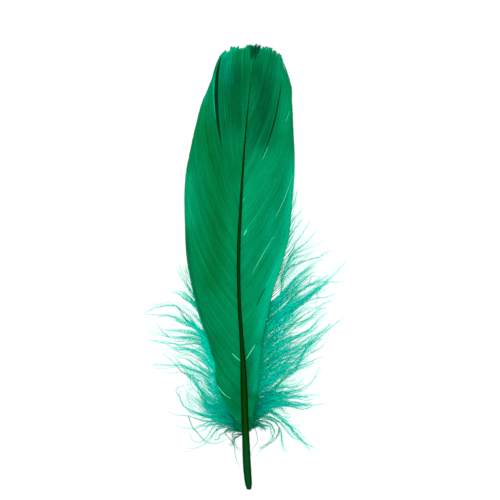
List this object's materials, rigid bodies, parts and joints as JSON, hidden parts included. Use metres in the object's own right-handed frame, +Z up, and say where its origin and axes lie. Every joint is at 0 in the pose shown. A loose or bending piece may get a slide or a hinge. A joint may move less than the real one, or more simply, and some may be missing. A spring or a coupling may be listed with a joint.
{
  "type": "goose quill feather",
  "caption": "Green-dyed goose feather lying flat: bare quill, tapering shaft, broad smooth vanes with fine splits and loose fluffy down round the base.",
  "frame": {"origin": "under the middle of the feather's box, on the surface that it lies on", "axes": "+Y from the quill end to the tip of the vane, +Z up from the surface, out of the side of the feather that faces up, +X to the right when the tip points away"},
  "size_m": [0.072, 0.1602, 0.0055],
  "materials": {
    "shaft": "satin",
    "vane": "satin",
    "down": "matte"
  },
  "bodies": {
    "root": {"quill_shaft": "shaft", "vane_left": "vane", "vane_right": "vane", "down_left": "down", "down_right": "down"}
  },
  "joints": []
}
